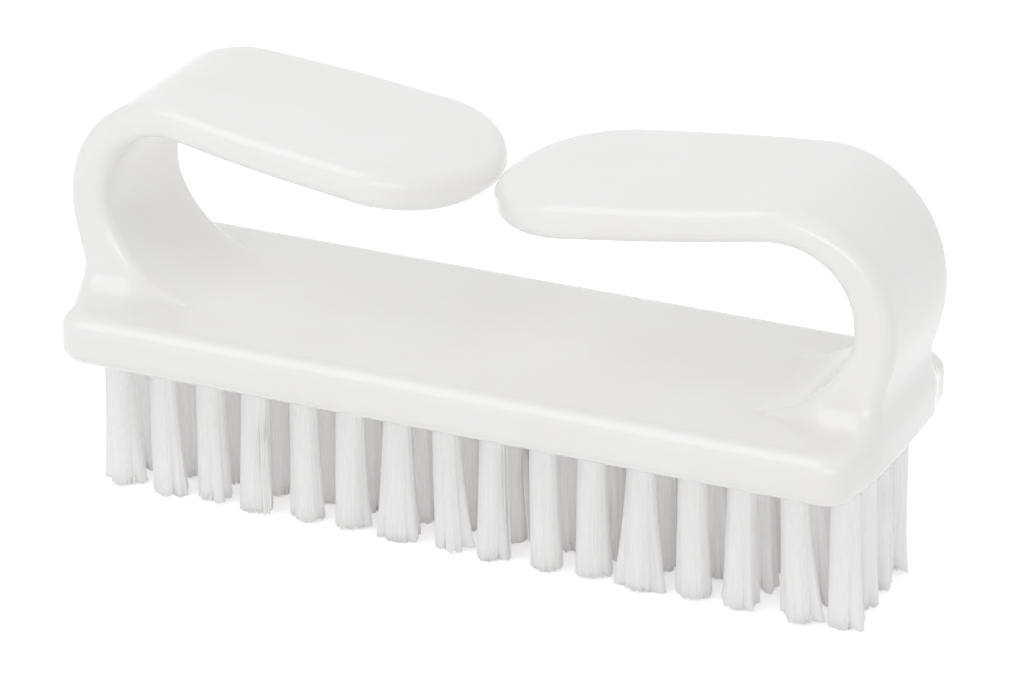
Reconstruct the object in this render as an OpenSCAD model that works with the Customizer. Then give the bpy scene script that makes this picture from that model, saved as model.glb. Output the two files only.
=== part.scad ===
// Nail brush with two hooked grip arms.
//
// One white plastic moulding carries everything: a flat back plate, and at each of its ends
// an arm that rises, turns over and runs back to the middle, where the two broad ends
// almost meet. Fingers go through the gap under the arms. The underside has a field of
// blind holes. Each holds a tuft of nylon filaments, folded over a piece of flat wire that
// bites into the plastic at both sides of the hole.
//
// X runs along the brush, Y across it and Z up. The origin is the middle of the plane on
// which the brush stands, where the filaments are trimmed level.

/* [Back plate] */
// Length of the plate, measured at the middle of its ends
plate_l = 90; // [86:1:100]
// Width of the plate
plate_w = 32; // [30:0.5:38]
// Thickness of the plate
plate_t = 5.65; // [5.2:0.05:7]
// Radius of the corners, seen from above
corner_r = 3.2; // [2.8:0.1:5]
// How far each end bows out at its middle
end_bow = 0.5; // [0.4:0.1:1.2]
// Radius of the upper edge
top_edge_r = 1.7; // [1.2:0.1:2.2]
// Radius of the lower edge
bottom_edge_r = 1.9; // [1:0.1:2.2]

/* [Grip arms] */
// From the end of the plate to the middle of the arm's root
arm_inset = 3.4; // [3.2:0.1:4.5]
// Length of the straight neck, from inside the plate
neck_l = 9.1; // [7.5:0.1:11]
// Outward lean of the neck, in degrees
neck_lean = 13.6; // [10:0.2:15]
// Radius of the bend above the neck, along the middle of the arm
shoulder_r = 12; // [10:0.1:15]
// Radius of the tighter bend over the top
crown_r = 10.5; // [9:0.1:13]
// Slope of the arm down towards the middle of the brush, in degrees
droop = 7.4; // [4:0.2:9]
// Gap between the tips of the two arms
tip_gap = 0.6; // [0.6:0.1:4]
// Width of the arm at its neck
neck_w = 17.4; // [16:0.2:20]
// Width of the broad end, where fingers press
paddle_w = 24.4; // [21:0.2:26]
// Thickness of the neck
neck_t = 4.6; // [4.2:0.1:5.6]
// Thickness of the arm past the crown, where it is thinnest
crown_t = 3.8; // [3.6:0.1:5]
// Thickness of the arm at its tip
tip_t = 4.3; // [4:0.1:5.6]
// Length over which the tip is rounded, seen from above
tip_round = 10.9; // [9:0.1:14]
// Radius of the arm's long edges
arm_edge_r = 1.55; // [1.2:0.05:1.7]
// Fillet between the root and the plate on the side of the finger gap
inner_fillet = 9.3; // [6:0.1:11]
// Fillet at the two sides of the root
side_fillet = 2.9; // [1.5:0.1:3.5]
// Fillet at the outer side of the root, above the plate's end
outer_fillet = 3.6; // [2:0.1:4]

/* [Tufts] */
// Length of the filaments below the plate
bristle_l = 16.5; // [12:0.5:20]
// Diameter of a tuft hole
hole_d = 3; // [2.7:0.1:3.2]
// Depth of the hole's straight wall
hole_depth = 3.4; // [3.2:0.1:3.6]
// From the end of the plate to the middle of the first holes
end_margin = 3.45; // [3.4:0.05:5]
// Spacing of the tufts across the brush
row_pitch = 5; // [4.4:0.1:6]
// Width of one modelled strand where it leaves the hole; it stands for a bundle of filaments
strand_root_w = 0.64; // [0.5:0.02:0.66]
// Width of the strand at its tip, where the bundle has spread
strand_tip_w = 0.9; // [0.6:0.02:0.94]
// Radius of the ring of strands where they leave the hole
root_ring_r = 0.98; // [0.96:0.02:1]
// Radius of the same ring at the tips
tip_ring_r = 1.4; // [1.2:0.02:1.45]
// How far the tips lean along the brush
tip_lean = 0.9; // [0:0.1:1.2]
// How far single tufts stray from that lean
tip_stray = 0.25; // [0:0.05:0.3]

/* [Anchors] */
// Thickness of the flat anchor wire
anchor_t = 0.4; // [0.3:0.05:0.5]
// Width of the wire, which lies along the hole
anchor_w = 1.6; // [1.4:0.1:1.8]
// How far the anchor bites into the plastic at each side of the hole
anchor_bite = 0.25; // [0.15:0.05:0.3]
// Depth of the anchor's lower edge inside the hole
anchor_depth = 1.2; // [1:0.1:1.4]
// Clearance round a tuft in its hole and round an anchor in its slot
fit_gap = 0.04; // [0.02:0.01:0.06]

/* [Hidden] */

$fn = 96;
white_plastic = [0.93, 0.93, 0.92];
nylon = [0.90, 0.90, 0.88];
wire = [0.72, 0.72, 0.70];

// One overrun for every cut, and for solids that are fused
over = 0.5;

// Levels
plate_z = bristle_l;
plate_top = plate_z + plate_t;

// Plan of the plate: an arc across each end, and a corner arc tangent to it and to the side
bow_r = (pow(plate_w/2, 2) + pow(end_bow, 2))/(2*end_bow);
bow_x = plate_l/2 - bow_r;
corner_y = plate_w/2 - corner_r;
corner_x = bow_x + sqrt(pow(bow_r - corner_r, 2) - pow(corner_y, 2));
bow_angle = asin(corner_y/(bow_r - corner_r));

// Grid of tufts
columns = 16;
rows = 4;
column_pitch = (plate_l - 2*end_margin)/(columns - 1);
function column_x(i) = (i - (columns + 1)/2)*column_pitch;
function row_y(j) = (j - (rows + 1)/2)*row_pitch;

// Tuft holes end in the cone that a drill leaves
drill_angle = 59;
cone_l = hole_d/2/tan(drill_angle);
plug_r = hole_d/2 - fit_gap;
anchor_l = hole_d + 2*anchor_bite;
anchor_z = plate_z + anchor_depth;
strands = 6;

// Middle line of an arm, in the XZ plane: the neck, two bends, and a straight run to the tip.
// Headings are angles from +X.
root_depth = 0.7*top_edge_r;
neck_a = 90 - neck_lean;
shoulder_a = 106;
run_a = 180 + droop;
neck_p = [plate_l/2 - arm_inset, plate_top - root_depth];
shoulder_p = neck_p + neck_l*heading(neck_a);
crown_p = bend_end(shoulder_p, shoulder_r, neck_a, shoulder_a);
run_p = bend_end(crown_p, crown_r, shoulder_a, run_a);
shoulder_u = neck_l;
crown_u = shoulder_u + arc_l(shoulder_r, shoulder_a - neck_a);
run_u = crown_u + arc_l(crown_r, run_a - shoulder_a);
arm_l = run_u + (run_p.x - tip_gap/2)/cos(droop);

function heading(a) = [cos(a), sin(a)];
function side(a) = [sin(a), -cos(a)];
function arc_l(r, turn) = r*turn*PI/180;
function bend_end(p, r, a, b) = p + r*(side(b) - side(a));

// Point and heading of the middle line, u along it from the root
function mid_a(u) =
    u < shoulder_u ? neck_a
    : u < crown_u ? neck_a + (u - shoulder_u)/shoulder_r*180/PI
    : u < run_u ? shoulder_a + (u - crown_u)/crown_r*180/PI
    : run_a;
function mid_p(u) =
    u < shoulder_u ? neck_p + u*heading(neck_a)
    : u < crown_u ? bend_end(shoulder_p, shoulder_r, neck_a, mid_a(u))
    : u < run_u ? bend_end(crown_p, crown_r, shoulder_a, mid_a(u))
    : run_p + (u - run_u)*heading(run_a);

function clamp(t) = min(1, max(0, t));
function ease(t) = let (c = clamp(t)) c*c*(3 - 2*c);
function mix(a, b, t) = a + (b - a)*ease(t);

// Angle from upright at height h of a quarter-round fillet, r high, that runs out at foot
function slope(r, h, foot) = asin(clamp(1 - (h - foot)/(r - foot)));

// Places along the arm, as shares of its length
neck_share = 0.10;
thin_share = 0.40;
paddle_share = 0.70;

// The tip narrows as a superellipse and thins a little at its very end
tip_power = 1.85;
tip_thin_share = 0.5;
tip_end_share = 0.08;
corner_share = 0.98;
foot_share = 0.06;
end_share = 0.17;
steepest = 85;

function arm_w(u) = mix(neck_w, paddle_w, (u/arm_l - neck_share)/(paddle_share - neck_share))/2;
function arm_t(u) =
    u/arm_l < thin_share
    ? mix(neck_t, crown_t, (u/arm_l - neck_share)/(thin_share - neck_share))/2
    : mix(crown_t, tip_t, (u/arm_l - thin_share)/(1 - thin_share))/2;
function tip_v(u) = clamp((u - arm_l + tip_round)/tip_round);
function tip_w(u) = max(tip_end_share, pow(1 - pow(tip_v(u), tip_power), 1/tip_power));
function tip_k(u) = 1 - tip_thin_share*pow(tip_v(u), 6);

// How finely the plate and the arms are stepped round their corners and edges
corner_steps = 6;
bow_steps = 6;
edge_steps = 4;

// One ring of points round the arm: a rounded rectangle, wider and longer where the root
// flares into the plate. It lies level at the plate and square to the arm above the fillet.
foot = -foot_share*top_edge_r;
outer_foot = -root_depth;
outer_reach = arm_inset - neck_t/2 - end_share*top_edge_r;
function ring(u) =
    let (
        p = mid_p(u),
        a = mid_a(u),
        h = p.y - plate_top,
        root = a < 90 ? 1 : 0,
        tilt = (a - 90)*(root*ease(h/inner_fillet) + 1 - root),
        n_dir = heading(tilt),
        rise = root*slope(inner_fillet, h, foot),
        f_in = (inner_fillet - foot)*(1 - cos(rise)),
        f_side = (side_fillet - foot)*(1 - cos(root*slope(side_fillet, h, foot))),
        f_out = outer_reach*(1 - cos(root*slope(outer_fillet, h, outer_foot))),
        w = (arm_w(u) + f_side)*tip_w(u),
        n_in = (arm_t(u) + f_in)*tip_k(u),
        n_out = (arm_t(u) + f_out)*tip_k(u),
        r_w = min(arm_edge_r + f_side, corner_share*w),
        r_in = min(arm_edge_r + f_in, arm_edge_r/cos(min(rise, steepest)), corner_share*n_in),
        r_out = min(arm_edge_r + f_out, corner_share*n_out)
    )
    [
        for (q = [[1, 1, 0], [-1, 1, 90], [-1, -1, 180], [1, -1, 270]])
            for (k = [0:edge_steps])
                let (
                    b = q[2] + 90*k/edge_steps,
                    ext = q[0] > 0 ? n_out : n_in,
                    r_n = q[0] > 0 ? r_out : r_in,
                    n = q[0]*(ext - r_n) + r_n*cos(b),
                    y = q[1]*(w - r_w) + r_w*sin(b)
                )
                [p.x + n*n_dir.x, y, p.y + n*n_dir.y]
    ];

// Places of the rings: close together where the fillet and the tip curve most
root_steps = 9;
shaft_steps = 22;
tip_steps = 9;
root_u = (inner_fillet + root_depth)/cos(neck_lean);
foot_u = (root_depth + foot)/cos(neck_lean);
stations = concat(
    [0, foot_u/2],
    [for (k = [0:root_steps - 1]) foot_u + (root_u - foot_u)*(1 - cos(90*k/root_steps))],
    [for (k = [0:shaft_steps - 1]) root_u + (arm_l - tip_round - root_u)*k/shaft_steps],
    [for (k = [0:tip_steps]) arm_l - tip_round + tip_round*sin(90*k/tip_steps)]
);

// Skin over a stack of rings that have the same number of points, closed at both ends
module skin(rings) {
    n = len(rings[0]);
    last = len(rings) - 1;
    points = [for (r = rings) each r];
    walls = [
        for (i = [0:last - 1])
            for (k = [0:n - 1])
                let (a = i*n + k, b = i*n + (k + 1) % n)
                each [[a, a + n, b], [b, a + n, b + n]]
    ];
    start = [for (k = [1:n - 2]) [0, k, k + 1]];
    end = [for (k = [1:n - 2]) [last*n, last*n + k + 1, last*n + k]];
    polyhedron(points, concat(walls, start, end), convexity = 6);
}

module grip_arm() {
    skin([for (u = stations) ring(u)]);
}

// Plan of the plate, drawn in by inset: the right-hand end, and the same turned half round
function end_outline(inset) = concat(
    [
        for (k = [0:corner_steps])
            [corner_x, -corner_y]
                + (corner_r - inset)*heading((90 - bow_angle)*k/corner_steps - 90)
    ],
    [
        for (k = [1:bow_steps - 1])
            [bow_x, 0] + (bow_r - inset)*heading(bow_angle*(2*k/bow_steps - 1))
    ],
    [
        for (k = [0:corner_steps])
            [corner_x, corner_y]
                + (corner_r - inset)*heading(bow_angle + (90 - bow_angle)*k/corner_steps)
    ]
);
function outline(inset, z) =
    [for (s = [1, -1]) for (p = end_outline(inset)) [s*p.x, s*p.y, z]];

module back_plate() {
    rounding = [for (k = [0:edge_steps]) heading(90*k/edge_steps)];
    skin(concat(
        [
            for (q = rounding)
                outline(bottom_edge_r*(1 - q.y), plate_z + bottom_edge_r*(1 - q.x))
        ],
        [
            for (q = rounding)
                outline(top_edge_r*(1 - q.x), plate_top - top_edge_r*(1 - q.y))
        ]
    ));
}

// A blind hole with its drilled cone, and the two grooves that its anchor cuts going in
module tuft_hole() {
    translate([0, 0, plate_z - over]) cylinder(h = hole_depth + over, d = hole_d);
    translate([0, 0, plate_z + hole_depth]) cylinder(h = cone_l, d1 = hole_d, d2 = 0);
    translate([-anchor_l/2 - fit_gap, -anchor_t/2 - fit_gap, plate_z - over])
        cube([
            anchor_l + 2*fit_gap,
            anchor_t + 2*fit_gap,
            anchor_depth + anchor_w + fit_gap + over
        ]);
}

module brush_body() {
    color(white_plastic) {
        difference() {
            back_plate();
            for (i = [1:columns])
                for (j = [1:rows])
                    translate([column_x(i), row_y(j), 0]) tuft_hole();
        }
        for (m = [0, 1]) mirror([m, 0, 0]) grip_arm();
    }
}

// One strand: four-sided, from inside the plug to its flat trimmed end on z = 0
function square_ring(c, w, a, z) =
    [for (k = [0:3]) [c.x + w/2*sqrt(2)*cos(a + 90*k), c.y + w/2*sqrt(2)*sin(a + 90*k), z]];
module strand(root, tip, a) {
    inside = over/bristle_l;
    start = root + (root - tip)*inside;
    skin([
        square_ring(tip, strand_tip_w, a, 0),
        square_ring(start, strand_root_w, a, plate_z + over)
    ]);
}

// A tuft: the folded bundle packed in its hole, with the slot for its anchor, and its strands
module tuft(i, j) {
    stray_a = 137.5*(i + columns*j);
    lean = [tip_lean, 0] + tip_stray*heading(stray_a);
    translate([column_x(i), row_y(j), 0]) {
        difference() {
            translate([0, 0, plate_z]) cylinder(h = hole_depth - fit_gap, r = plug_r);
            translate([-hole_d, -anchor_t/2 - fit_gap, anchor_z - fit_gap])
                cube([2*hole_d, anchor_t + 2*fit_gap, anchor_w + 2*fit_gap]);
        }
        strand([0, 0], lean, 45);
        for (k = [0:strands - 1]) {
            out = heading(360*k/strands + 30);
            strand(root_ring_r*out, lean + tip_ring_r*out, 360*k/strands + 75);
        }
    }
}

module tuft_column(i) {
    color(nylon)
        for (j = [1:rows]) tuft(i, j);
}

module anchor_row(j) {
    color(wire)
        for (i = [1:columns])
            translate([column_x(i) - anchor_l/2, row_y(j) - anchor_t/2, anchor_z])
                cube([anchor_l, anchor_t, anchor_w]);
}

brush_body();
tuft_column(1);  // tuft_column_01
tuft_column(2);  // tuft_column_02
tuft_column(3);  // tuft_column_03
tuft_column(4);  // tuft_column_04
tuft_column(5);  // tuft_column_05
tuft_column(6);  // tuft_column_06
tuft_column(7);  // tuft_column_07
tuft_column(8);  // tuft_column_08
tuft_column(9);  // tuft_column_09
tuft_column(10);  // tuft_column_10
tuft_column(11);  // tuft_column_11
tuft_column(12);  // tuft_column_12
tuft_column(13);  // tuft_column_13
tuft_column(14);  // tuft_column_14
tuft_column(15);  // tuft_column_15
tuft_column(16);  // tuft_column_16
anchor_row(1);  // anchor_row_1
anchor_row(2);  // anchor_row_2
anchor_row(3);  // anchor_row_3
anchor_row(4);  // anchor_row_4
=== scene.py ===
import math

import bmesh
import bpy
import numpy as np
from mathutils import Matrix, Vector


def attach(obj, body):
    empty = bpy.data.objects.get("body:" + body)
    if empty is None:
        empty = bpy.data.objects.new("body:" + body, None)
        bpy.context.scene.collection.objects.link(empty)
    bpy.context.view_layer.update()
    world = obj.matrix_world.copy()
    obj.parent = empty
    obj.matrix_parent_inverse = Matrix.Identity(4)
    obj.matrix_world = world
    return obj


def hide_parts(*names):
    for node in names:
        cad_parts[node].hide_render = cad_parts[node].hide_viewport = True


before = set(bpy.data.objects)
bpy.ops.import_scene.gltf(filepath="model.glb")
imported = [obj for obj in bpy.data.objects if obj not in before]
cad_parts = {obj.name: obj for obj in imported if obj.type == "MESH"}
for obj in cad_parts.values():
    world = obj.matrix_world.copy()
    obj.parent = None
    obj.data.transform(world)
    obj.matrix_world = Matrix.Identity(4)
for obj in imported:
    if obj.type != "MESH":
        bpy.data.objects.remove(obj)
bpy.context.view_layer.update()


# The view: a long lens a little to the right of the brush and above it, as the photograph
# was taken. Lengths in this file are in millimetres until a mesh or an object is made.
MM = 0.001
VIEW_TURN = math.radians(23.6)
VIEW_RISE = math.radians(23.45)
VIEW_ROLL = math.radians(0.6)
VIEW_TARGET = Vector((1.44, 0.0, 21.31))
VIEW_DISTANCE, VIEW_END = 481.8, 10000.0
LENS, SENSOR_W = 161.6, 36.0

back = Vector((
    math.sin(VIEW_TURN) * math.cos(VIEW_RISE),
    -math.cos(VIEW_TURN) * math.cos(VIEW_RISE),
    math.sin(VIEW_RISE),
))
level = Vector((math.cos(VIEW_TURN), math.sin(VIEW_TURN), 0.0))
upright = back.cross(level)
right = math.cos(VIEW_ROLL) * level + math.sin(VIEW_ROLL) * upright
up = math.cos(VIEW_ROLL) * upright - math.sin(VIEW_ROLL) * level

camera_data = bpy.data.cameras.new("view")
camera_data.lens = LENS
camera_data.sensor_width = SENSOR_W
camera_data.clip_end = VIEW_END * MM
camera = bpy.data.objects.new("view", camera_data)
bpy.context.scene.collection.objects.link(camera)
camera.matrix_world = (
    Matrix.Translation((VIEW_TARGET + back * VIEW_DISTANCE) * MM)
    @ Matrix((right, up, back)).transposed().to_4x4()
)
bpy.context.scene.camera = camera
bpy.context.scene.view_settings.view_transform = "Standard"

# Light gets out from between the pale filaments only after many bounces
BOUNCES = 32
bpy.context.scene.cycles.max_bounces = BOUNCES
bpy.context.scene.cycles.diffuse_bounces = BOUNCES


# The floor and the light: a pale sheet that sweeps away behind the brush, a white studio
# that is lightest behind and overhead, a tall softbox at the front left that draws the long
# highlights on the edges, and a low one at the front that reaches in between the tufts.
FLOOR_HALF, FLOOR_LIFT = 3000.0, 0.35
LIGHTEST_WAY, DARKEST, LIGHTEST = (0.14, 0.70, 0.70), 0.0, 0.93


def add_node(tree, kind, settings=None, links=None):
    """A node with its settings, and with inputs, by name or number, linked to sockets."""
    node = tree.nodes.new(kind)
    for name, value in (settings or {}).items():
        if name in node.inputs:
            node.inputs[name].default_value = value
        else:
            setattr(node, name, value)
    for name, socket in (links or {}).items():
        tree.links.new(socket, node.inputs[name])
    return node


def linear(code, alpha=1.0):
    """An sRGB hex colour as the linear values that a socket takes."""
    values = [int(code[i:i + 2], 16) / 255 for i in (1, 3, 5)]
    return [
        v / 12.92 if v <= 0.04045 else ((v + 0.055) / 1.055) ** 2.4 for v in values
    ] + [alpha]


def new_material(name):
    """A material with no nodes yet, and its node tree."""
    material = bpy.data.materials.new(name)
    material.use_nodes = True
    material.node_tree.nodes.clear()
    return material, material.node_tree


def new_object(name, verts, faces, material=None, smooth=True):
    """A mesh object in metres from points in millimetres."""
    mesh = bpy.data.meshes.new(name)
    mesh.from_pydata([tuple(v) for v in np.asarray(verts) * MM], [], faces)
    mesh.validate()
    if smooth:
        mesh.shade_smooth()
    obj = bpy.data.objects.new(name, mesh)
    bpy.context.scene.collection.objects.link(obj)
    if material:
        mesh.materials.append(material)
    return obj


def seen_directly(tree):
    """One where a ray comes from the camera, a reflection or a transmission."""
    path = add_node(tree, "ShaderNodeLightPath")
    seen = path.outputs["Is Camera Ray"]
    for ray in ("Is Glossy Ray", "Is Transmission Ray"):
        either = add_node(
            tree, "ShaderNodeMath", {"operation": "MAXIMUM"}, {0: seen, 1: path.outputs[ray]},
        )
        seen = either.outputs[0]
    return seen


def add_softbox(name, place, target, width, height, watts):
    """A rectangular lamp at place, turned to face target."""
    data = bpy.data.lights.new(name, "AREA")
    data.shape = "RECTANGLE"
    data.size = width * MM
    data.size_y = height * MM
    data.energy = watts
    lamp = bpy.data.objects.new(name, data)
    bpy.context.scene.collection.objects.link(lamp)
    lamp.location = Vector(place) * MM
    aim = Vector(target) - Vector(place)
    lamp.rotation_euler = aim.to_track_quat("-Z", "Y").to_euler()


studio = bpy.data.worlds.new("white_studio")
bpy.context.scene.world = studio
studio.use_nodes = True
tree = studio.node_tree
tree.nodes.clear()
sky = add_node(tree, "ShaderNodeTexCoord")
to_lightest = add_node(
    tree, "ShaderNodeVectorMath", {"operation": "DOT_PRODUCT"}, {0: sky.outputs["Generated"]},
)
to_lightest.inputs[1].default_value = LIGHTEST_WAY
strength = add_node(
    tree, "ShaderNodeMapRange",
    {"From Min": -1.0, "From Max": 1.0, "To Min": DARKEST, "To Max": LIGHTEST},
    {"Value": to_lightest.outputs["Value"]},
)
room = add_node(
    tree, "ShaderNodeBackground", {"Color": linear("#ffffff")},
    {"Strength": strength.outputs["Result"]},
)
white = add_node(tree, "ShaderNodeBackground", {"Color": linear("#ffffff"), "Strength": 1.0})
pick = add_node(
    tree, "ShaderNodeMixShader", {},
    {"Fac": seen_directly(tree), 1: room.outputs[0], 2: white.outputs[0]},
)
add_node(tree, "ShaderNodeOutputWorld", {}, {"Surface": pick.outputs[0]})

paper, tree = new_material("white_paper_sweep")
matt = add_node(tree, "ShaderNodeBsdfDiffuse", {"Color": linear("#f8f8f8")})
lift = add_node(tree, "ShaderNodeEmission", {"Color": linear("#ffffff"), "Strength": FLOOR_LIFT})
both = add_node(tree, "ShaderNodeAddShader", {}, {0: matt.outputs[0], 1: lift.outputs[0]})
pick = add_node(
    tree, "ShaderNodeMixShader", {},
    {"Fac": seen_directly(tree), 1: matt.outputs[0], 2: both.outputs[0]},
)
add_node(tree, "ShaderNodeOutputMaterial", {}, {"Surface": pick.outputs[0]})
floor = new_object(
    "floor",
    [(FLOOR_HALF * x, FLOOR_HALF * y, 0) for x, y in ((-1, -1), (1, -1), (1, 1), (-1, 1))],
    [(0, 1, 2, 3)], paper,
)

add_softbox(
    "tall_softbox", place=(-334, -539, 661), target=(0, 0, 20), width=540, height=760, watts=2.15,
)
add_softbox(
    "low_softbox", place=(313, -717, 170), target=(0, 0, 12), width=500, height=240, watts=1.0,
)


# The moulding: back plate and both grip arms in one shot of white polypropylene, from a
# polished steel mould with rounded edges. The tuft holes are drilled afterwards, and each
# anchor cuts two grooves in its hole's wall as it is driven home.
PLATE_L, PLATE_W, PLATE_T = 90.0, 32.0, 5.65
CORNER_R, END_BOW, TOP_EDGE_R, BOTTOM_EDGE_R = 3.2, 0.5, 1.7, 1.9
BRISTLE_L = 16.5
PLATE_Z = BRISTLE_L
PLATE_TOP = PLATE_Z + PLATE_T

bow_r = ((PLATE_W / 2) ** 2 + END_BOW ** 2) / (2 * END_BOW)
bow_x = PLATE_L / 2 - bow_r
corner_y = PLATE_W / 2 - CORNER_R
corner_x = bow_x + math.sqrt((bow_r - CORNER_R) ** 2 - corner_y ** 2)
bow_angle = math.asin(corner_y / (bow_r - CORNER_R))

ARM_INSET, NECK_L, NECK_LEAN, SHOULDER_TURN = 3.4, 9.1, 13.6, 106.0
SHOULDER_R, CROWN_R, DROOP, TIP_GAP = 12.0, 10.5, 7.4, 0.6
NECK_W, PADDLE_W, NECK_T, CROWN_T, TIP_T = 17.4, 24.4, 4.6, 3.8, 4.3
TIP_ROUND, TIP_POWER, TIP_THIN, THIN_POWER = 10.9, 1.85, 0.5, 6
ARM_EDGE_R, NECK_EDGE_R = 1.55, 1.3
INNER_FILLET, COVE_REACH = 9.3, 3.0
# The blend at the root, the way over which it runs out, and what is left of it there
ROOT_BLEND, BLEND_RUN, LEAST_BLEND = 4.2, 6.0, 0.02
# Shares of the arm's length where it starts to change, is thinnest, and has its full width
NECK_SHARE, THIN_SHARE, PADDLE_SHARE = 0.10, 0.40, 0.70
# How far below the plate's top the arm's middle line starts, as a share of the edge radius,
# and how far below it the arm's own form is cut off
ROOT_SHARE, ARM_SUNK = 0.7, 2.2
root_depth = ROOT_SHARE * TOP_EDGE_R


def bend_end(p, r, a, b):
    """End of an arc of radius r that leaves p at heading a and ends at heading b."""
    return p + r * np.array([math.sin(b) - math.sin(a), math.cos(a) - math.cos(b)])


# Middle line of the right-hand arm, seen from the front: neck, two bends and a straight run
neck_a, shoulder_a, run_a = (
    math.radians(a) for a in (90 - NECK_LEAN, SHOULDER_TURN, 180 + DROOP)
)
neck_p = np.array([PLATE_L / 2 - ARM_INSET, PLATE_TOP - root_depth])
shoulder_p = neck_p + NECK_L * np.array([math.cos(neck_a), math.sin(neck_a)])
crown_p = bend_end(shoulder_p, SHOULDER_R, neck_a, shoulder_a)
run_p = bend_end(crown_p, CROWN_R, shoulder_a, run_a)
crown_u = NECK_L + SHOULDER_R * (shoulder_a - neck_a)
run_u = crown_u + CROWN_R * (run_a - shoulder_a)
arm_l = run_u + (run_p[0] - TIP_GAP / 2) / math.cos(math.radians(DROOP))


def straight(x, z, p, a, u):
    """Way along and out from a straight stretch that starts at p with heading a."""
    dx, dz = x - p[0], z - p[1]
    return u + dx * math.cos(a) + dz * math.sin(a), dx * math.sin(a) - dz * math.cos(a)


def bend(x, z, p, a, r, u):
    """Way along and out from a bend of radius r that starts at p with heading a."""
    dx, dz = x - p[0] + r * math.sin(a), z - p[1] - r * math.cos(a)
    turn = np.arctan2(dz, dx) + math.pi / 2 - a
    turn = (turn + math.pi) % (2 * math.pi) - math.pi
    return u + r * turn, np.hypot(dx, dz) - r


def along_arm(x, z):
    """How far along the arm a point is, and how far outside its middle line."""
    stretches = [
        straight(x, z, run_p, run_a, run_u),
        bend(x, z, crown_p, shoulder_a, CROWN_R, crown_u),
        bend(x, z, shoulder_p, neck_a, SHOULDER_R, NECK_L),
    ]
    over_cove = z > PLATE_TOP + INNER_FILLET
    reached = [
        (straight(x, z, run_p, run_a, 0)[0] > 0) & over_cove,
        (straight(x, z, crown_p, shoulder_a, 0)[0] > 0) & over_cove,
        straight(x, z, shoulder_p, neck_a, 0)[0] > 0,
    ]
    neck = straight(x, z, neck_p, neck_a, 0)
    return tuple(np.select(reached, [s[k] for s in stretches], neck[k]) for k in (0, 1))


def ease(t):
    """From nought to one with a soft start and a soft end."""
    t = np.clip(t, 0, 1)
    return t * t * (3 - 2 * t)


def mix(a, b, t):
    """From a to b, eased, as t goes from nought to one."""
    return a + (b - a) * ease(t)


# Each form gives how far a point is outside its surface, less than nought inside it, so
# every edge and root comes out with its true radius
def joined(a, b, r):
    """Two forms as one, with a fillet of radius r where they meet."""
    return np.maximum(r, np.minimum(a, b)) - np.hypot(np.maximum(r - a, 0), np.maximum(r - b, 0))


def shared(a, b, r):
    """What two forms share, with its edge rounded to radius r."""
    return np.minimum(-r, np.maximum(a, b)) + np.hypot(np.maximum(r + a, 0), np.maximum(r + b, 0))


def plate_form(x, y, z):
    """The back plate: bowed ends, straight sides, rounded corners and edges."""
    end = np.hypot(x - bow_x, y) - bow_r
    corner = np.hypot(x - corner_x, y - corner_y) - CORNER_R
    in_corner = (np.arctan2(y, x - bow_x) > bow_angle) & (x > corner_x)
    plan = np.where(in_corner, corner, np.maximum(end, y - PLATE_W / 2))
    return np.maximum(
        shared(plan, z - PLATE_TOP, TOP_EDGE_R), shared(plan, PLATE_Z - z, BOTTOM_EDGE_R),
    )


# Least values, which keep powers, roots and divisions away from nought
LEAST_PLAN, LEAST_SLOPE, LEAST_RISE = 1e-6, 1e-3, 1e-4


def arm_form(x, y, z):
    """One arm: a band that widens to a round end, with a deep cove on the finger side."""
    u, n = along_arm(x, z)
    share = np.clip(u / arm_l, 0, 1)
    width = mix(NECK_W, PADDLE_W, (share - NECK_SHARE) / (PADDLE_SHARE - NECK_SHARE))
    to_thin = (share - NECK_SHARE) / (THIN_SHARE - NECK_SHARE)
    thick = np.where(
        share < THIN_SHARE, mix(NECK_T, CROWN_T, to_thin),
        mix(CROWN_T, TIP_T, (share - THIN_SHARE) / (1 - THIN_SHARE)),
    )

    # The round end, which thins towards its rim
    v = np.maximum(0, u - arm_l + TIP_ROUND) / TIP_ROUND
    thick = thick * (1 - TIP_THIN * np.minimum(v, 1) ** THIN_POWER)
    w = y / (width / 2)
    plan = np.maximum((v ** TIP_POWER + w ** TIP_POWER) ** (1 / TIP_POWER), LEAST_PLAN)
    slope = plan ** (1 - TIP_POWER) * np.hypot(
        v ** (TIP_POWER - 1) / TIP_ROUND, w ** (TIP_POWER - 1) / (width / 2),
    )
    side = (plan - 1) / np.maximum(slope, LEAST_SLOPE)

    # The cove, a quarter circle from the plate's top up to the neck
    by_root = u < NECK_L + COVE_REACH
    h = np.where(by_root, np.maximum(z - PLATE_TOP, 0), INNER_FILLET)
    low = np.clip(1 - h / INNER_FILLET, 0, 1)
    cove = INNER_FILLET * (1 - np.sqrt(1 - low * low))
    stretch = np.minimum(
        1 / np.sqrt(np.maximum(1 - low * low, LEAST_RISE)), 1 + cove / NECK_EDGE_R,
    )
    inner_edge_r = mix(NECK_EDGE_R, ARM_EDGE_R, to_thin)
    return np.maximum(
        shared(side, n - thick / 2, ARM_EDGE_R),
        shared(side, (-n - thick / 2 - cove) / stretch, inner_edge_r),
    )


def moulding_form(x, y, z):
    """Plate and arms in one. The blend at the root runs out under the cove."""
    x, y = np.abs(x), np.abs(y)
    arm = np.maximum(arm_form(x, y, z), PLATE_TOP - ARM_SUNK - z)
    out = along_arm(x, z)[1] + NECK_T / 2
    blend = ROOT_BLEND * ease(1 + out / BLEND_RUN) + LEAST_BLEND
    return joined(arm, plate_form(x, y, z), blend)


# Size of the skin's cells, and how far its grid reaches past the ends, sides and top
CELL, ROOM_ENDS, ROOM_SIDES, ROOM_TOP = 0.4, 2.3, 0.7, 10.0
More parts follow.
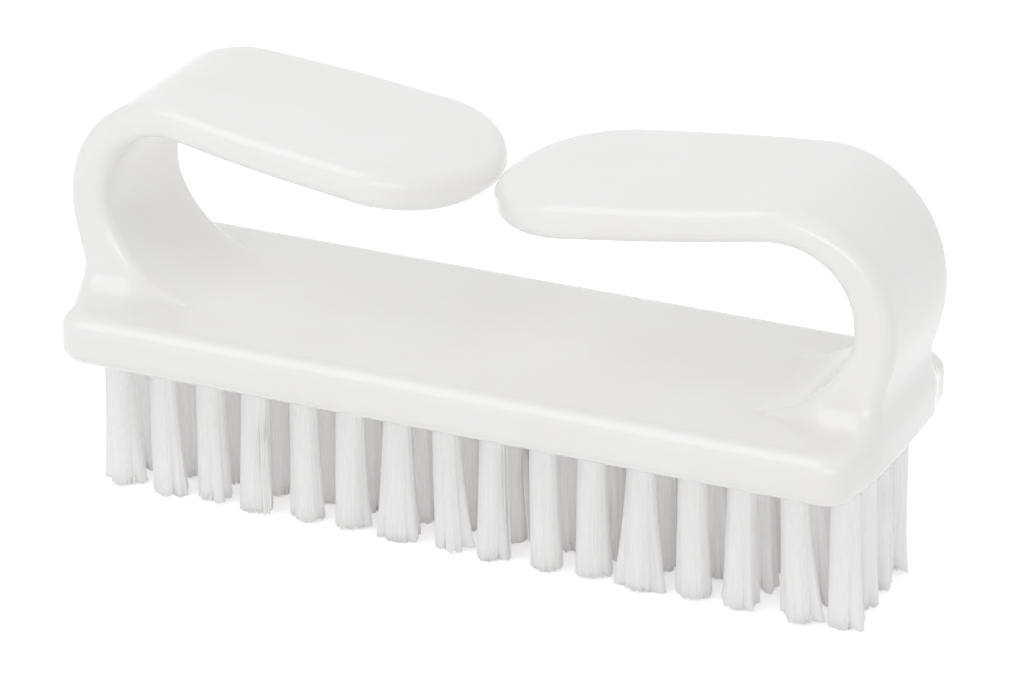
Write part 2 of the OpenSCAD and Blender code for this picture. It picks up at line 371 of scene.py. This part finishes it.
# Points are moved on to the surface in a few rounds: half the span over which its slope is
# taken, the least square of that slope, and the longest and the shortest move that count
ROUNDS, PROBE, LEAST_STEEP, LONGEST_MOVE, SHORTEST_MOVE = 4, 0.02, 0.05, 0.3, 1e-9


def settled(form, points):
    """Points moved on to the surface of a form, along its slope."""
    for _ in range(ROUNDS):
        x, y, z = points.T
        slope = np.stack([
            form(x + PROBE, y, z) - form(x - PROBE, y, z),
            form(x, y + PROBE, z) - form(x, y - PROBE, z),
            form(x, y, z + PROBE) - form(x, y, z - PROBE),
        ], 1) / (2 * PROBE)
        steep = np.maximum((slope ** 2).sum(1), LEAST_STEEP)
        move = -form(x, y, z)[:, None] * slope / steep[:, None]
        length = np.linalg.norm(move, axis=1, keepdims=True)
        points = points + move * np.minimum(1, LONGEST_MOVE / np.maximum(length, SHORTEST_MOVE))
    return points


def skin_over(form, low, high, step):
    """Quads over a form: one point in each cell that its surface crosses, moved on to it."""
    axes = [np.arange(a, b + step, step) for a, b in zip(low, high)]
    value = form(*np.meshgrid(*axes, indexing="ij"))
    inside = value < 0
    cells = np.array(value.shape) - 1
    corners = [(i, j, k) for i in (0, 1) for j in (0, 1) for k in (0, 1)]
    filled = sum(
        inside[i:i + cells[0], j:j + cells[1], k:k + cells[2]].astype(int) for i, j, k in corners
    )
    crossed = (filled > 0) & (filled < len(corners))
    number = np.full(cells, -1)
    number[crossed] = np.arange(crossed.sum())
    cell = np.argwhere(crossed)
    total, count = np.zeros((len(cell), 3)), np.zeros(len(cell))
    quads = []
    for axis in range(3):
        # Where the surface crosses those four edges of each cell that run this way
        along = np.eye(3, dtype=int)[axis]
        for start in (c for c in corners if c[axis] == 0):
            a = value[tuple((cell + start).T)]
            b = value[tuple((cell + start + along).T)]
            hit = (a < 0) != (b < 0)
            place = np.tile(np.array(start, float), (hit.sum(), 1))
            place[:, axis] = a[hit] / (a[hit] - b[hit])
            total[hit] += place
            count[hit] += 1

        # One quad round each crossed edge, through the four cells that share it
        first = inside.take(range(cells[axis]), axis)
        other = inside.take(range(1, cells[axis] + 1), axis)
        edge = np.argwhere(first != other)
        p, q = ((1, 2), (2, 0), (0, 1))[axis]
        around = []
        for dp, dq in ((0, 0), (1, 0), (1, 1), (0, 1)):
            near = edge.copy()
            near[:, p] -= dp
            near[:, q] -= dq
            around.append(number[tuple(near.T)])
        quad = np.stack(around, 1)
        outward = first[tuple(edge.T)]
        quad[~outward] = quad[~outward][:, ::-1]
        quads.append(quad)
    points = (cell + total / count[:, None]) * step + np.array(low)
    return settled(form, points), np.concatenate(quads)


grid_low = (-PLATE_L / 2 - ROOM_ENDS, -PLATE_W / 2 - ROOM_SIDES, PLATE_Z - ROOM_SIDES)
grid_high = (PLATE_L / 2 + ROOM_ENDS, PLATE_W / 2 + ROOM_SIDES, run_p[1] + ROOM_TOP)
verts, faces = skin_over(moulding_form, grid_low, grid_high, CELL)
moulding = new_object("brush_moulding", verts, faces.tolist())

HOLE_D, HOLE_DEPTH, END_MARGIN, ROW_PITCH = 3.0, 3.4, 3.45, 5.0
COLUMNS, ROWS = 16, 4
# The drill's point and the small flat on it, and how far below the plate each cut starts
DRILL_POINT, DRILL_FLAT_R, CUT_START = 118.0, 0.05, 1.0
ANCHOR_T, ANCHOR_W, ANCHOR_BITE, ANCHOR_DEPTH, ANCHOR_PLAY = 0.4, 1.6, 0.25, 1.2, 0.04
column_pitch = (PLATE_L - 2 * END_MARGIN) / (COLUMNS - 1)
tuft_places = {
    (i, j): ((i - (COLUMNS + 1) / 2) * column_pitch, (j - (ROWS + 1) / 2) * ROW_PITCH)
    for i in range(1, COLUMNS + 1) for j in range(1, ROWS + 1)
}


def stack(shapes):
    """Several meshes as one list of vertices and faces."""
    verts, faces, start = [], [], 0
    for v, f in shapes:
        verts.append(np.asarray(v, float))
        faces += [tuple(k + start for k in face) for face in f]
        start += len(v)
    return np.concatenate(verts), faces


def loft(rings):
    """Closed skin over a stack of rings with the same number of points."""
    n = len(rings[0])
    verts = np.concatenate(rings)
    faces = [
        (i * n + k, i * n + (k + 1) % n, (i + 1) * n + (k + 1) % n, (i + 1) * n + k)
        for i in range(len(rings) - 1) for k in range(n)
    ]
    last = (len(rings) - 1) * n
    faces.append(tuple(range(n - 1, -1, -1)))
    faces.append(tuple(last + k for k in range(n)))
    return verts, faces


def drill_shape(x, y, sides=48):
    """The cut of a drill: a straight wall and the cone of its point."""
    turn = [2 * math.pi * k / sides for k in range(sides)]
    cone = HOLE_D / 2 / math.tan(math.radians(DRILL_POINT / 2))
    rings = [
        np.array([(x + r * math.cos(a), y + r * math.sin(a), z) for a in turn])
        for r, z in (
            (HOLE_D / 2, PLATE_Z - CUT_START), (HOLE_D / 2, PLATE_Z + HOLE_DEPTH),
            (DRILL_FLAT_R, PLATE_Z + HOLE_DEPTH + cone),
        )
    ]
    return loft(rings)


def groove_shape(x, y):
    """The two grooves of one anchor, cut from the mouth of the hole."""
    dx, dy = HOLE_D / 2 + ANCHOR_BITE + ANCHOR_PLAY, ANCHOR_T / 2 + ANCHOR_PLAY
    rings = [
        np.array([
            (x - dx, y - dy, z), (x + dx, y - dy, z), (x + dx, y + dy, z), (x - dx, y + dy, z),
        ])
        for z in (PLATE_Z - CUT_START, PLATE_Z + ANCHOR_DEPTH + ANCHOR_W + ANCHOR_PLAY)
    ]
    return loft(rings)


def bake_modifiers(obj):
    """Makes the result of an object's modifiers its mesh."""
    graph = bpy.context.evaluated_depsgraph_get()
    mesh = bpy.data.meshes.new_from_object(obj.evaluated_get(graph))
    obj.modifiers.clear()
    old = obj.data
    obj.data = mesh
    bpy.data.meshes.remove(old)


for name, shape in (("drills", drill_shape), ("grooves", groove_shape)):
    cutter = new_object(name, *stack([shape(*p) for p in tuft_places.values()]), smooth=False)
    cut = moulding.modifiers.new(name, "BOOLEAN")
    cut.operation = "DIFFERENCE"
    cut.object = cutter
    cut.solver = "MANIFOLD"
    bake_modifiers(moulding)
    bpy.data.objects.remove(cutter)

# The cuts can leave two faces back to back, which are no part of any surface
SAME_PLACE, SHARP_ANGLE = 0.0001, 35.0
surface = bmesh.new()
surface.from_mesh(moulding.data)
bmesh.ops.triangulate(surface, faces=surface.faces)
bmesh.ops.remove_doubles(surface, verts=surface.verts, dist=SAME_PLACE * MM)
by_corners = {}
for face in surface.faces:
    by_corners.setdefault(frozenset(v.index for v in face.verts), []).append(face)
back_to_back = [face for alike in by_corners.values() if len(alike) > 1 for face in alike]
bmesh.ops.delete(surface, geom=back_to_back, context="FACES_ONLY")
surface.to_mesh(moulding.data)
surface.free()
moulding.data.shade_smooth()
moulding.data.set_sharp_from_angle(angle=math.radians(SHARP_ANGLE))

# White polypropylene, polished mould: milky, nearly even, with a soft broad gloss. The eye
# finds only faint clouding, slight changes of gloss and a trace of orange peel.
CLOUD_MM, PEEL_MM, PEEL_HEIGHT_MM, SCATTER_MM = 14.0, 0.9, 0.02, 1.2
polypropylene, tree = new_material("moulded_white_polypropylene")
place = add_node(tree, "ShaderNodeTexCoord")
cloud = add_node(
    tree, "ShaderNodeTexNoise", {"Scale": 1000 / CLOUD_MM, "Detail": 3.0},
    {"Vector": place.outputs["Object"]},
)
tone = add_node(tree, "ShaderNodeValToRGB", {}, {"Fac": cloud.outputs["Fac"]})
for stop, position, colour in zip(tone.color_ramp.elements, (0.35, 0.65), ("#f6f5f4", "#f8f8f7")):
    stop.position = position
    stop.color = linear(colour)
gloss = add_node(
    tree, "ShaderNodeMapRange",
    {"From Min": 0.3, "From Max": 0.7, "To Min": 0.14, "To Max": 0.18},
    {"Value": cloud.outputs["Fac"]},
)
peel = add_node(
    tree, "ShaderNodeTexNoise", {"Scale": 1000 / PEEL_MM, "Detail": 2.0},
    {"Vector": place.outputs["Object"]},
)
bump = add_node(
    tree, "ShaderNodeBump", {"Strength": 0.05, "Distance": PEEL_HEIGHT_MM * MM},
    {"Height": peel.outputs["Fac"]},
)
skin = add_node(
    tree, "ShaderNodeBsdfPrincipled",
    {"IOR": 1.49, "Subsurface Weight": 0.25, "Subsurface Scale": SCATTER_MM * MM,
     "Subsurface Radius": (1.0, 0.95, 0.9)},
    {"Base Color": tone.outputs["Color"], "Roughness": gloss.outputs["Result"],
     "Normal": bump.outputs["Normal"]},
)
add_node(tree, "ShaderNodeOutputMaterial", {}, {"Surface": skin.outputs[0]})
moulding.data.materials.clear()
moulding.data.materials.append(polypropylene)
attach(moulding, "root")
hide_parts("brush_body")


# The tufts: undyed nylon monofilament a quarter of a millimetre thick. Each bundle is
# folded over its anchor and driven into its hole; the free ends spread a little, lean
# towards one end of the brush, and are trimmed level.
FILAMENT_D = 0.24
# Filaments that show round a bundle, and in the middle of its cut face
OUTER, INNER = 36, 64
ROOT_R, BODY_R, TIP_R = 1.45, 1.49, 1.72
ROOT_LEVEL, SWELL_L = PLATE_Z + 1.0, 3.0
# How far the tips lean along the brush, also in the end columns, and how far any way
TIP_LEAN, LEAN_POWER = 0.35, 1.15
END_LEAN = {1: 1.2, COLUMNS - 1: 1.3, COLUMNS: 0.2}
TIP_STRAY, STRAY_TURN = 0.35, 137.5
rng = np.random.default_rng(7)


def free_share(z):
    """One at the tips, and nought from the underside of the plate upwards."""
    return 1 - np.clip(z / PLATE_Z, 0, 1)


def centre_line(root, lean, z):
    """Middle of a bundle at height z: straight out of its hole, then leaning over."""
    return root + lean * free_share(z) ** LEAN_POWER


def spread(z):
    """Radius of a bundle at height z: it swells as soon as it is out of its hole."""
    swollen = mix(BODY_R, ROOT_R, (z - PLATE_Z + SWELL_L) / SWELL_L)
    return swollen + (TIP_R - BODY_R) * free_share(z)


def direction(angle):
    """The way that an angle points, seen from above."""
    return np.array([math.cos(angle), math.sin(angle)])


# Chance that neighbours share and that each has alone: in how deep the outer filaments sit,
# and in how far above the cut they end
SUNK_WIDTHS, END_WIDTHS, CLUMP_SCALE = (0.045, 0.025), (0.16, 0.16), 1.73
RIDGE_ROUND, SUNK_POWER, HIGHEST_END = 0.9, 0.3, 1.2
RING_LEVELS = (0.0, 1.3, 4.0, 8.0, 12.0, 14.5, 15.8, ROOT_LEVEL)
# A bundle is a little oval and a little three-sided, and the second turns on its way down
OVAL, THREE_SIDED, TWIST = 0.05, 0.04, 2
# The cut face is hollow in the middle, where the inner filaments stand one by one
HOLLOW_R, HOLLOW_DEPTH = 0.2, 0.75
# One to three forks, two in three of them to the right, and the notches at their sides
FORKS, FORK_REACH, FORK_WIDTH, FORK_POWER = (1, 4), (0.3, 1.1), (0.2, 0.4), 2
FORK_SIDES, FORK_STRAY = (0.0, 0.0, math.pi), 0.5
NOTCH_DEPTH, NOTCH_AT, NOTCH_WIDTH = 0.45, 1.45, 0.4


def clumped(n, width, single):
    """A random number for each of n neighbours in a ring, alike in clumps of a few."""
    rough = rng.normal(0, width, n)
    alike = (rough + np.roll(rough, 1) + np.roll(rough, 2)) / CLUMP_SCALE
    return alike + rng.normal(0, single, n)


def forks(turn):
    """How far the ends round a bundle stand out, where a few filaments have come away at
    one side with a notch between them and the rest."""
    away = np.zeros(len(turn))
    for reach in rng.uniform(*FORK_REACH, rng.integers(*FORKS)):
        side = rng.choice(FORK_SIDES) + rng.normal(0, FORK_STRAY)
        off = np.abs((turn - side + math.pi) % (2 * math.pi) - math.pi) / rng.uniform(*FORK_WIDTH)
        notch = NOTCH_DEPTH * np.exp(-((off - NOTCH_AT) / NOTCH_WIDTH) ** 2)
        away += reach * (np.exp(-off ** 4) - notch)
    return away


def bundle(root, lean, cut, steps=5):
    """A packed bundle: its outer filaments touch, stand out by half and end unevenly."""
    count = OUTER * steps
    turn = 2 * math.pi * np.arange(count) / count
    place = (np.arange(count) % steps + 0.5) / steps * 2 - 1
    ridge = FILAMENT_D / 2 * (np.sqrt(1 - (RIDGE_ROUND * place) ** 2) - 1)
    sunk = np.repeat(clumped(OUTER, *SUNK_WIDTHS), steps)
    wave = rng.uniform(0, 2 * math.pi, 2)
    ends = np.repeat(cut + np.abs(clumped(OUTER, *END_WIDTHS)), steps)
    fork = forks(turn)
    rings = [np.column_stack([
        root[0] + lean[0] + HOLLOW_R * np.cos(turn), root[1] + lean[1] + HOLLOW_R * np.sin(turn),
        np.full(count, cut + HOLLOW_DEPTH),
    ])]
    for z in RING_LEVELS:
        free = free_share(z)
        three_sided = THREE_SIDED * np.sin(3 * turn + wave[1] + TWIST * free)
        lobes = OVAL * np.sin(2 * turn + wave[0]) + three_sided
        r = spread(z) * (1 + free * lobes) + ridge + free ** SUNK_POWER * sunk
        r = r + free ** FORK_POWER * fork
        c = centre_line(root, lean, z)
        height = np.minimum(ends, HIGHEST_END) if z == 0 else np.full(count, z)
        rings.append(np.column_stack([c[0] + r * np.cos(turn), c[1] + r * np.sin(turn), height]))
    return loft(rings)


def filament(points, sides=6):
    """One filament: a thin tube through the points."""
    turn = 2 * math.pi * np.arange(sides) / sides
    ring = FILAMENT_D / 2 * np.column_stack([np.cos(turn), np.sin(turn), np.zeros(sides)])
    return loft([np.asarray(p) + ring for p in points][::-1])


# The share of the cut face that the inner filaments fill, the length of them that is made,
# how unevenly they end, and the turn from each to the next, which spaces them evenly
INNER_SHARE, INNER_L, INNER_STRAY, INNER_TURN = 0.86, 0.9, 0.15, 2.39996


def inner_ends(tip, cut):
    """The cut ends in the middle of a bundle, one by one."""
    ends = []
    for k in range(INNER):
        r = math.sqrt((k + 0.5) / INNER) * INNER_SHARE
        c = tip + TIP_R * r * direction(k * INNER_TURN)
        end = cut + abs(rng.normal(0, INNER_STRAY))
        ends.append(filament([(*c, cut + INNER_L), (*c, end)]))
    return ends


# Up to two clusters of one to four loose filaments: the side they are on and how far apart
# they stand, the height where they leave their tuft, and how far off and uneven they end
CLUSTERS, CLUSTER_SIZE = (0, 3), (1, 5)
LOOSE_SIDES, LOOSE_STRAY, LOOSE_STEP = (0.2, math.pi - 0.2), 0.5, 0.16
LOOSE_FROM, LOOSE_START, LOOSE_SUNK = (6.0, 13.0), 1.0, 0.08
LOOSE_REACH, LOOSE_SHARE, LOOSE_POWER = (0.2, 0.9), (0.8, 1.1), 1.4
LOOSE_END_STRAY, LOOSE_POINTS = 0.3, 6


def loose_cluster(root, lean, cut):
    """A few filaments that have left their bundle together and bend away from it."""
    towards = rng.choice(LOOSE_SIDES) + rng.normal(0, LOOSE_STRAY)
    reach = rng.uniform(*LOOSE_REACH)
    high = rng.uniform(*LOOSE_FROM) + LOOSE_START
    size = rng.integers(*CLUSTER_SIZE)
    out = direction(towards)
    cluster = []
    for k in range(size):
        way = direction(towards + LOOSE_STEP * (k - size / 2))
        low = cut + abs(rng.normal(0, LOOSE_END_STRAY))
        far = reach * rng.uniform(*LOOSE_SHARE)
        points = []
        for z in np.linspace(high, low, LOOSE_POINTS):
            bent = (1 - z / high) ** LOOSE_POWER
            c = centre_line(root, lean, z) + (spread(z) - LOOSE_SUNK) * way + far * bent * out
            points.append((*c, z))
        cluster.append(filament(points))
    return cluster


# How far above the floor the tufts are trimmed, and how much that varies
CUT_LEVEL, CUT_STRAY = 0.08, 0.05


def tuft(i, j):
    """One tuft: its packed bundle, and the filaments that show singly."""
    root = np.array(tuft_places[i, j])
    stray = math.radians(STRAY_TURN * (i + COLUMNS * j))
    lean = np.array([
        END_LEAN.get(i, TIP_LEAN) + TIP_STRAY * math.cos(stray), TIP_STRAY * math.sin(stray),
    ])
    cut = max(0.0, rng.normal(CUT_LEVEL, CUT_STRAY))
    single = inner_ends(root + lean, cut)
    for _ in range(rng.integers(*CLUSTERS)):
        single += loose_cluster(root, lean, cut)
    return bundle(root, lean, cut), stack(single)


# Nylon 6.6 filament, drawn and undyed: milky and half see-through, with a satin skin. It
# takes up next to no light and passes it on sideways, so a tuft glows nearly as white as
# the moulding, also where it is in shade.
STREAK_MM, SIDEWAYS_MM = 1.5, 1.5
nylon, tree = new_material("undyed_nylon_filament")
place = add_node(tree, "ShaderNodeTexCoord")
streak = add_node(
    tree, "ShaderNodeTexNoise", {"Scale": 1000 / STREAK_MM, "Detail": 2.0},
    {"Vector": place.outputs["Object"]},
)
tone = add_node(tree, "ShaderNodeValToRGB", {}, {"Fac": streak.outputs["Fac"]})
for stop, position, colour in zip(tone.color_ramp.elements, (0.3, 0.7), ("#fefdfd", "#fefefe")):
    stop.position = position
    stop.color = linear(colour)
skin = add_node(
    tree, "ShaderNodeBsdfPrincipled",
    {"IOR": 1.53, "Roughness": 0.38, "Subsurface Weight": 1.0,
     "Subsurface Scale": SIDEWAYS_MM * MM, "Subsurface Radius": (1.0, 1.0, 1.0)},
    {"Base Color": tone.outputs["Color"]},
)
add_node(tree, "ShaderNodeOutputMaterial", {}, {"Surface": skin.outputs[0]})

# A single filament is too thin to pass light on sideways
loose_nylon = nylon.copy()
loose_nylon.name = "undyed_nylon_loose_ends"
loose_skin = next(n for n in loose_nylon.node_tree.nodes if n.type == "BSDF_PRINCIPLED")
loose_skin.inputs["Subsurface Weight"].default_value = 0.0

BRISTLE_SHARP_ANGLE = 60.0
for i in range(1, COLUMNS + 1):
    bundles, loose = zip(*(tuft(i, j) for j in range(1, ROWS + 1)))
    for name, shapes, material, smooth in (
        (f"bristle_bundles_{i:02d}", bundles, nylon, True),
        (f"bristle_ends_{i:02d}", loose, loose_nylon, False),
    ):
        bristles = new_object(name, *stack(shapes), material, smooth)
        bristles.data.set_sharp_from_angle(angle=math.radians(BRISTLE_SHARP_ANGLE))
        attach(bristles, "root")
        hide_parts(f"tuft_column_{i:02d}")


# The anchors: short pieces of plated flat wire, one across each hole, which hold the folded
# tufts. Only their ends could be seen, deep between the filaments. Drawing has left fine
# lines along the wire, which show as small changes of gloss.
DRAW_LINE_MM, LINE_STRETCH = 0.1, 20
wire, tree = new_material("plated_flat_wire")
place = add_node(tree, "ShaderNodeTexCoord")
drawn = add_node(
    tree, "ShaderNodeMapping", {"Scale": (1 / LINE_STRETCH, 1.0, 1.0)},
    {"Vector": place.outputs["Object"]},
)
lines = add_node(
    tree, "ShaderNodeTexNoise", {"Scale": 1000 / DRAW_LINE_MM},
    {"Vector": drawn.outputs["Vector"]},
)
dull = add_node(
    tree, "ShaderNodeMapRange", {"To Min": 0.28, "To Max": 0.45},
    {"Value": lines.outputs["Fac"]},
)
skin = add_node(
    tree, "ShaderNodeBsdfPrincipled", {"Base Color": linear("#c9c6bf"), "Metallic": 1.0},
    {"Roughness": dull.outputs["Result"]},
)
add_node(tree, "ShaderNodeOutputMaterial", {}, {"Surface": skin.outputs[0]})
for j in range(1, ROWS + 1):
    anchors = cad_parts[f"anchor_row_{j}"]
    anchors.data.materials.clear()
    anchors.data.materials.append(wire)
